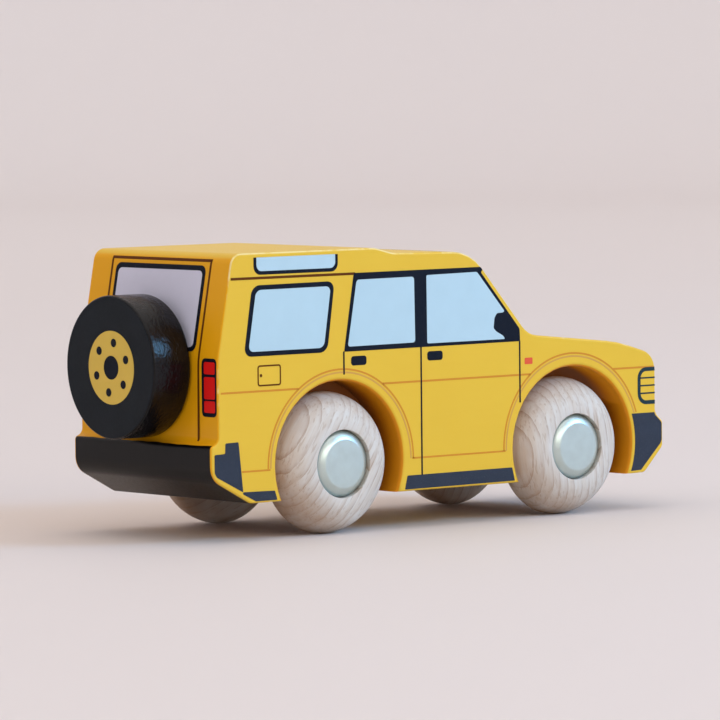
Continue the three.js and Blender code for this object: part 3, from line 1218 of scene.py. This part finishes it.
@dataclass
class RearPrint:
    """Tailgate, window and lamps on the tail, measured from the car's middle and the floor."""

    datum: Datum
    stand_off: float = 6.0
    aside: float = -0.35
    gate_half: float = 17.7
    gate: Point = (22.6, 62.3)
    gate_overrun: float = 0.3
    line_width: float = 0.62
    window_half: float = 16.2
    window: Point = (42.3, 61.2)
    window_round: float = 1.7
    frame_width: float = 1.05
    glass: Point = (43.2, 60.05)
    glass_round: float = 1.2
    lamp_across: Point = (19.2, 24.35)
    lamp: Point = (28.1, 41.0)
    lamp_round: float = 1.1
    lamp_frame: Point = (0.85, 0.5)
    panes: tuple[Point, ...] = ((37.5, 40.2), (32.0, 36.9), (29.0, 31.6))
    pane_round: float = 0.4
    height_bends: tuple[float, ...] = (22.9, 39.12, 40.5, 41.86, 61.5, 61.85, 62.2)

    def build(self, block: Piece) -> list[Piece]:
        """Prints the tail.

        Args:
            block: The block that carries the print.

        Returns:
            The printed pieces.
        """
        face = Face(Vector((self.datum.low.x - self.stand_off * MM, 0.0, 0.0)), RIGHT, UP, mirrored=True)
        lines, dark, glass, red = (InkSheet(face, ink, lift) for ink, lift in (
            (Ink.LINE, LINE_FILM), (Ink.NAVY, DARK_FILM), (Ink.REAR_GLASS, OVER_FILM), (Ink.RED, OVER_FILM)))
        aside, half, wide = self.aside, self.gate_half, self.window_half
        foot, top = self.gate
        lines.line((aside - half, top), (aside + half, top), self.line_width)
        dark.patch(box((aside - wide, self.window[0]), (aside + wide, self.window[1]), self.window_round))
        glass.patch(box((aside - wide + self.frame_width, self.glass[0]),
                        (aside + wide - self.frame_width, self.glass[1]), self.glass_round))
        for sign in (-1, 1):
            edge = aside + sign * half
            lines.line((edge, foot), (edge, top + self.gate_overrun), self.line_width)
            inner, outer = (sign * place for place in self.lamp_across)
            dark.patch(box((inner, self.lamp[0]), (outer, self.lamp[1]), self.lamp_round))
            near, far = sorted((inner + sign * self.lamp_frame[0], outer - sign * self.lamp_frame[1]))
            red.patch(*(box((near, low), (far, high), self.pane_round) for low, high in self.panes))
        cuts = [*upright(*EDGE_BENDS), *level(*self.height_bends)]
        names = ("tailgate_lines", "tail_dark_frames", "tail_window", "tail_lamps")
        return [sheet.press(name, block, cuts) for sheet, name in zip((lines, dark, glass, red), names)]


@dataclass
class FrontPrint:
    """Plain windscreen, lamps and grille, measured from the car's middle and the screen's foot or floor."""

    datum: Datum
    screen_off: float = 12.0
    screen_half: float = 21.3
    screen_foot: Point = (55.7, 42.5)
    screen_top: Point = (33.2, 62.3)
    screen_ends: Point = (1.5, 0.3)
    frame_round: float = 2.0
    glass_in: float = 1.3
    glass_ends: Point = (2.9, 6.4)
    glass_round: float = 1.4
    nose_off: float = 6.0
    lamp_across: Point = (13.2, 26.9)
    lamp_bar: Point = (14.1, 24.75)
    lamp: Point = (24.6, 33.3)
    lamp_round: float = 2.4
    lamp_frame: float = 0.92
    bar_width: float = 0.36
    lamp_bars: tuple[float, ...] = (30.8, 29.0, 27.2)
    grille_half: float = 11.4
    grille_bar: float = 0.4
    grille_round: float = 0.3
    grille_bars: tuple[float, ...] = (32.0, 30.4, 28.8, 27.2, 25.6)
    foot_cuts: tuple[float, float, int] = (1.6, 0.4, 14)
    top_cuts: tuple[float, float, int] = (9.5, 0.5, 20)
    height_bends: tuple[float, ...] = (32.5, 32.9, 33.2)

    def build(self, block: Piece) -> list[Piece]:
        """Prints the front.

        Args:
            block: The block that carries the print.

        Returns:
            The printed pieces.
        """
        return [*self.screen(block), self.nose(block)]

    def screen(self, block: Piece) -> list[Piece]:
        """Prints the windscreen over its dark frame, cut often at its foot and top to follow the bends.

        Args:
            block: The block that carries the print.

        Returns:
            The frame and the glass.
        """
        foot, top = (Vector((self.datum.along(x), 0.0, z * MM))
                     for x, z in (self.screen_foot, self.screen_top))
        up = (top - foot).normalized()
        length = (top - foot).length / MM
        face = Face(foot + LEFT.cross(up) * self.screen_off * MM, LEFT, up)
        dark, glass = InkSheet(face, Ink.NAVY, DARK_FILM), InkSheet(face, Ink.GLASS, OVER_FILM)
        half, pane = self.screen_half, self.screen_half - self.glass_in
        dark.patch(box((-half, self.screen_ends[0]), (half, length - self.screen_ends[1]), self.frame_round))
        glass.patch(box((-pane, self.glass_ends[0]), (pane, length - self.glass_ends[1]), self.glass_round))
        (low, low_step, lows), (down, high_step, highs) = self.foot_cuts, self.top_cuts
        bends = level(*(low + step * low_step for step in range(lows)),
                      *(length - down + step * high_step for step in range(highs)))
        return [dark.press("windscreen_frame", block, bends), glass.press("windscreen", block, bends)]

    def nose(self, block: Piece) -> Piece:
        """Prints the lamps and the grille between them.

        Args:
            block: The block that carries the print.

        Returns:
            The print.
        """
        face = Face(Vector((self.datum.high.x + self.nose_off * MM, 0.0, 0.0)), LEFT, UP)
        dark = InkSheet(face, Ink.NAVY, DARK_FILM)
        for sign in (-1, 1):
            (inner, outer), (start, end) = ([sign * place for place in run]
                                            for run in (self.lamp_across, self.lamp_bar))
            frame = box((inner, self.lamp[0]), (outer, self.lamp[1]), self.lamp_round, (0, 3))
            dark.outline(frame, self.lamp_frame, [((end, 0.0), (-sign * 1.0, 0.0))])
            for height in self.lamp_bars:
                dark.line((start, height), (end, height), self.bar_width)
        half, bar = self.grille_half, self.grille_bar
        dark.patch(*(box((-half, height - bar), (half, height + bar), self.grille_round)
                     for height in self.grille_bars))
        cuts = [*upright(*EDGE_BENDS), *level(*self.height_bends)]
        return dark.press("nose_lamps_and_grille", block, cuts)


class Corner(Enum):
    """The car's four wheel places."""

    FRONT_RIGHT = "front_right"
    FRONT_LEFT = "front_left"
    REAR_RIGHT = "rear_right"
    REAR_LEFT = "rear_left"

    @property
    def left(self) -> bool:
        """Tells whether the place is on the car's left."""
        return self.value.endswith("left")

    def seat(self, kind: str) -> tuple[Vector, Point]:
        """Finds where a turned piece's inner face sits.

        Args:
            kind: What the frame calls the piece, without its place.

        Returns:
            The middle of the inner face, and the piece's radius and width in millimetres.
        """
        low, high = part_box(f"{kind}_{self.value}")
        middle = (low + high) / 2
        inner = Vector((middle.x, low.y if self.left else high.y, middle.z))
        return inner, ((high.z - low.z) / 2 / MM, (high.y - low.y) / MM)

    def carry(self, kind: str, start: "Corner") -> Matrix:
        """Gives the move that takes a turned piece of a kind from the start to this place."""
        turn = Matrix.Rotation(math.pi if self.left != start.left else 0.0, 4, "Z")
        return Matrix.Translation(self.seat(kind)[0]) @ turn @ Matrix.Translation(-start.seat(kind)[0])


@dataclass
class AxleEndPieces:
    """Turned pieces at the four axle ends: one is turned, and the others are copies of it."""

    node: str
    piece: str
    slot: str
    steps: int
    smooth_angle: float = SMOOTH_ANGLE

    def section(self, radius: float, width: float) -> list[Point]:
        """Gives the half-section in millimetres; each kind of piece has its own."""
        raise NotImplementedError

    def body(self, corner: Corner) -> str:
        """Names the body that the piece at a place rides on."""
        return CAR_BODY

    def finish(self, corner: Corner) -> Material:
        """Gives the finish of the piece at a place; each kind of piece has its own."""
        raise NotImplementedError

    def build(self) -> list[Piece]:
        """Turns the first piece, copies it to the other places and dresses them all.

        Returns:
            The four pieces.
        """
        first = Corner.FRONT_RIGHT
        seat, (radius, width) = first.seat(self.node)
        section = self.section(radius, width)
        master = Hand.turn(f"{self.piece}_{first.value}", section, seat, RIGHT, self.steps)
        Hand.soften(master, self.smooth_angle)
        pieces = [master]
        for corner in list(Corner)[1:]:
            move = corner.carry(self.node, first)
            pieces.append(Hand.copy(master, f"{self.piece}_{corner.value}", move))
        for corner, piece in zip(Corner, pieces):
            Hand.dress(piece, self.finish(corner))
            stand_for(piece, self.body(corner), f"{self.node}_{corner.value}", self.slot)
        return pieces


@dataclass
class RoadWheels(AxleEndPieces):
    """Turned beech wheels, each with its own run of grain."""

    node: str = "wheel"
    piece: str = "beech_wheel"
    slot: str = "bare_wood"
    steps: int = 120
    back_round: float = 2.0
    dome: float = 8.0
    land: float = 8.7
    recess: float = 7.68
    recess_depth: float = 2.4
    chamfer: float = 0.14
    bore: float = 3.3
    grain_turns: tuple[tuple[Corner, float], ...] = (
        (Corner.FRONT_RIGHT, -8.0), (Corner.FRONT_LEFT, 30.0),
        (Corner.REAR_RIGHT, 34.0), (Corner.REAR_LEFT, 70.0))

    def section(self, radius: float, width: float) -> list[Point]:
        """Gives the half-section from the back, over the tread and dome, to the recess and bore.

        Args:
            radius: The wheel's radius in millimetres.
            width: Its width.

        Returns:
            Radius and depth of each point.
        """
        soft, small = self.back_round, self.chamfer
        floor = width - self.recess_depth
        return [(self.bore, 0.0), *bow((radius - soft, soft), (soft, soft), (-90, 0), 8),
                *bow((self.land, width - self.dome), (radius - self.land, self.dome), (0, 90), 24),
                *bow((self.recess + small, width - small), (small, small), (90, 180), 3),
                (self.recess, floor), (self.bore, floor), (self.bore, 0.0)]

    def body(self, corner: Corner) -> str:
        """Names the wheel's own body, which spins."""
        return f"{corner.value}_wheel"

    def finish(self, corner: Corner) -> Material:
        """Gives the wheel at a place its own wood.

        Args:
            corner: The place.

        Returns:
            The wood.
        """
        low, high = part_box(f"{self.node}_{corner.value}")
        turn = math.radians(dict(self.grain_turns)[corner])
        return BareBeech(f"beech_{corner.value}", (low + high) / 2, turn, (high.z - low.z) / 2).material()


@dataclass
class HubCaps(AxleEndPieces):
    """Drawn steel caps with a rolled shoulder, a crease where it meets the face and a faint crown."""

    node: str = "hub_cap"
    piece: str = "zinc_cap"
    slot: str = "zinc_steel"
    steps: int = 96
    shoulder: float = 1.7
    roll: Point = (5.6, 2.48)
    roll_end: float = 50.0
    wall: float = 0.6
    crown: float = 0.1
    foot: float = 0.12

    def section(self, radius: float, width: float) -> list[Point]:
        """Gives the half-section from the rim's foot, over the shoulder, and back inside.

        Args:
            radius: The cap's radius in millimetres.
            width: Its height along the axle.

        Returns:
            Radius and height of each point.
        """
        flat = radius - self.shoulder
        face = radius - self.roll[0] * (1 - math.cos(math.radians(self.roll_end)))
        top = width - self.crown
        spring = top - self.roll[1] * math.sin(math.radians(self.roll_end))
        inner, small = radius - self.wall, self.shoulder - self.wall
        crown = [(face * share, width - self.crown * share * share) for share in (0.96, 0.75, 0.5, 0.25, 0.0)]
        return [(inner, 0.0), (radius - self.foot, 0.0), (radius, self.foot), (radius, spring),
                *bow((radius - self.roll[0], spring), self.roll, (0, self.roll_end), 12)[1:], *crown,
                (0.0, width - self.wall - self.crown),
                *bow((flat, top - self.shoulder), (small, small), (90, 0), 5), (inner, 0.0)]

    def finish(self, corner: Corner) -> Material:
        """Gives every cap the same plate."""
        return ZincPlate().material()


@dataclass
class SpareWheel:
    """The black disc on the tail, with its printed hub."""

    face_round: float = 0.6
    back_round: float = 1.0
    bore: float = 4.3
    bore_depth: float = 7.1
    hub_radius: float = 8.2
    boss_radius: float = 2.65
    bolt_radius: float = 0.95
    bolt_circle: float = 5.62
    bolts: int = 6
    first_bolt: float = 100.0
    print_aside: float = -0.6
    print_off: float = 4.0
    printed_black: Colour = (0.0048, 0.0075, 0.0110)
    steps: int = 128
    hub_sides: int = 96
    boss_sides: int = 64
    bolt_sides: int = 32

    def build(self) -> list[Piece]:
        """Turns the disc, paints it and prints its hub.

        Returns:
            The disc and its two prints.
        """
        low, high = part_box("spare_wheel")
        middle = (low + high) / 2
        radius, width = (high.z - low.z) / 2 / MM, (high.x - low.x) / MM
        back, front = self.back_round, self.face_round
        section = [(0.0, self.bore_depth), (self.bore, self.bore_depth), (self.bore, 0.0),
                   *bow((radius - back, back), (back, back), (-90, 0), 6),
                   *bow((radius - front, width - front), (front, front), (0, 90), 6), (radius * 0.6, width),
                   (0.0, width)]
        disc = Hand.turn("spare_disc", section, Vector((high.x, middle.y, middle.z)), BACKWARD, self.steps)
        Hand.soften(disc, SMOOTH_ANGLE)
        Hand.dress(disc, BrushedBlack("brushed_black").material())
        disc.data.materials.append(BrushedBlack("printed_black", self.printed_black, gloss=False).material())
        for polygon in disc.data.polygons:
            polygon.material_index = 1 if polygon.normal.x < -0.9 else 0
        stand_for(disc, CAR_BODY, "spare_wheel", "black_paint")
        face = Face(Vector((low.x - self.print_off * MM, middle.y, middle.z)), RIGHT, UP, mirrored=True)
        hub, dark = InkSheet(face, Ink.HUB, DARK_FILM), InkSheet(face, Ink.NAVY, OVER_FILM)
        aside = self.print_aside
        hub.dot((aside, 0.0), self.hub_radius, self.hub_sides)
        dark.dot((aside, 0.0), self.boss_radius, self.boss_sides)
        for bolt in range(self.bolts):
            angle = math.radians(self.first_bolt + 360 / self.bolts * bolt)
            place = (aside + self.bolt_circle * math.cos(angle), self.bolt_circle * math.sin(angle))
            dark.dot(place, self.bolt_radius, self.bolt_sides)
        return [disc, hub.press("spare_hub_print", disc), dark.press("spare_bolt_print", disc)]


@dataclass
class HiddenHardware:
    """Axles, star washers and the dowel: the frame's own shapes with real finishes."""

    steel_colour: Colour = (0.5, 0.53, 0.54)
    dowel_turn: float = 0.4

    def dress(self, nodes: dict[str, Piece]) -> list[Piece]:
        """Gives the frame's nodes their finishes.

        Args:
            nodes: The frame's nodes by name.

        Returns:
            The dressed nodes.
        """
        zinc = ZincPlate("zinc_rod", self.steel_colour).material()
        washers = [f"star_washer_{corner.value}" for corner in Corner]
        steel = [nodes[name] for name in ("front_axle", "rear_axle", *washers)]
        dowel = nodes["spare_wheel_dowel"]
        for piece in steel:
            Hand.dress(piece, zinc)
        low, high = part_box("spare_wheel_dowel")
        beech = BareBeech("dowel_beech", (low + high) / 2, self.dowel_turn, (high.z - low.z) / 2)
        Hand.dress(dowel, beech.material())
        return [*steel, dowel]


@dataclass(frozen=True)
class SoftLamp:
    """A soft rectangular light that looks at the car: sizes in metres and power in watts."""

    name: str
    direction: tuple[float, float, float]
    distance: float
    size: Point
    power: float
    colour: Colour
    aim: float = 0.03

    def hang(self) -> None:
        """Hangs the light out of the camera's sight."""
        data = bpy.data.lights.new(self.name, "AREA")
        data.shape = "RECTANGLE"
        data.size, data.size_y = self.size
        data.energy = self.power
        data.color = self.colour
        lamp = bpy.data.objects.new(self.name, data)
        lamp.visible_camera = False
        way = Vector(self.direction).normalized()
        lamp.location = way * self.distance + UP * self.aim
        lamp.rotation_euler = way.to_track_quat("Z", "Y").to_euler()
        bpy.context.scene.collection.objects.link(lamp)


@dataclass
class Studio:
    """A round sweep of pale paper under soft light."""

    floor_radius: float = 2.35
    wall_radius: float = 2.75
    wall_height: float = 2.6
    inner_rings: Point = (0.6, 1.4)
    steps: int = 96
    weld: float = 1e-5
    smooth_angle: float = 40.0
    ambient: Colour = (1.0, 0.955, 0.92)
    ambient_strength: float = 0.96
    lamps: tuple[SoftLamp, ...] = (
        SoftLamp("window_light", (0.62, -0.65, 0.43), 1.8, (0.64, 0.42), 17.5, (0.22, 0.57, 1.0)),
        SoftLamp("side_light", (0.0, -0.94, 0.34), 2.2, (1.9, 0.8), 9.4, (0.99, 0.97, 0.85)),
        SoftLamp("ceiling_light", (-0.1, -0.15, 1.0), 1.9, (1.8, 1.8), 5.0, (1.0, 0.97, 0.95)))

    def sweep(self) -> None:
        """Spins the floor and its rising edge."""
        soft = self.wall_radius - self.floor_radius
        section = [(0.0, 0.0), *((radius, 0.0) for radius in self.inner_rings),
                   *bow((self.floor_radius, soft), (soft, soft), (-90, 0), 12),
                   (self.wall_radius, self.wall_height)]
        row = [Vector((radius, 0.0, height)) for radius, height in section]
        floor = Hand.draw("studio_sweep", row, fill=False)
        with Hand.editing(floor):
            bpy.ops.mesh.spin(steps=self.steps, angle=math.tau, center=(0.0, 0.0, 0.0), axis=UP)
            Hand.weld(self.weld)
            if Hand.pick(floor, "faces", lambda face: face.normal.z < -0.01
                         or face.normal.dot(face.calc_center_median()) > 0.1):
                bpy.ops.mesh.flip_normals()
        Hand.take(floor)
        bpy.ops.object.shade_smooth_by_angle(angle=math.radians(self.smooth_angle))
        Hand.dress(floor, StudioPaper().material())

    def light(self) -> None:
        """Sets the room's glow and hangs the lights."""
        world = bpy.data.worlds.new("studio_glow")
        world.use_nodes = True
        background = world.node_tree.nodes["Background"]
        background.inputs["Color"].default_value = (*self.ambient, 1.0)
        background.inputs["Strength"].default_value = self.ambient_strength
        bpy.context.scene.world = world
        for lamp in self.lamps:
            lamp.hang()
        bpy.context.scene.view_settings.view_transform = "Standard"


@dataclass(frozen=True)
class PhotoCamera:
    """The photograph's viewpoint: a long lens behind the car, to its right, a little above it."""

    target: tuple[float, float, float] = (0.000339, 0.0, 0.037027)
    distance: float = 1.30593
    azimuth: float = -40.0
    elevation: float = 3.386
    roll: float = -0.568
    lens: float = 283.92
    sensor: float = 36.0
    clip: Point = (0.05, 20.0)

    def build(self) -> None:
        """Sets up the camera and makes it the scene's own."""
        azimuth, elevation, roll = map(math.radians, (self.azimuth, self.elevation, self.roll))
        back = Vector((math.sin(azimuth) * math.cos(elevation), -math.cos(azimuth) * math.cos(elevation),
                       math.sin(elevation)))
        right = UP.cross(back).normalized()
        up = back.cross(right)
        turned_right = right * math.cos(roll) + up * math.sin(roll)
        turned_up = up * math.cos(roll) - right * math.sin(roll)
        data = bpy.data.cameras.new("photo_camera")
        data.lens = self.lens
        data.sensor_width = self.sensor
        data.clip_start, data.clip_end = self.clip
        camera = bpy.data.objects.new("photo_camera", data)
        matrix = Matrix((turned_right, turned_up, back)).transposed().to_4x4()
        matrix.translation = Vector(self.target) + back * self.distance
        camera.matrix_world = matrix
        bpy.context.scene.collection.objects.link(camera)
        bpy.context.scene.camera = camera


def main() -> None:
    """Builds the car on its frame, piece by piece, and the studio round it."""
    logging.basicConfig(level=logging.INFO, format="%(message)s")
    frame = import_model()
    PhotoCamera().build()
    datum = Datum.of(frame)
    block = BodyBlock(datum).build(frame["nodes"]["body_block"])
    pieces = [block]
    for drawing in (SidePrint(datum), RearPrint(datum), FrontPrint(datum)):
        pieces += drawing.build(block)
    for turned in (RoadWheels(), HubCaps(), SpareWheel()):
        pieces += turned.build()
    pieces += HiddenHardware().dress(frame["nodes"])
    for piece in pieces:
        LOG.info("made %s", piece.name)
    studio = Studio()
    studio.sweep()
    studio.light()
    Hand.clear()


if __name__ == "__main__":
    main()
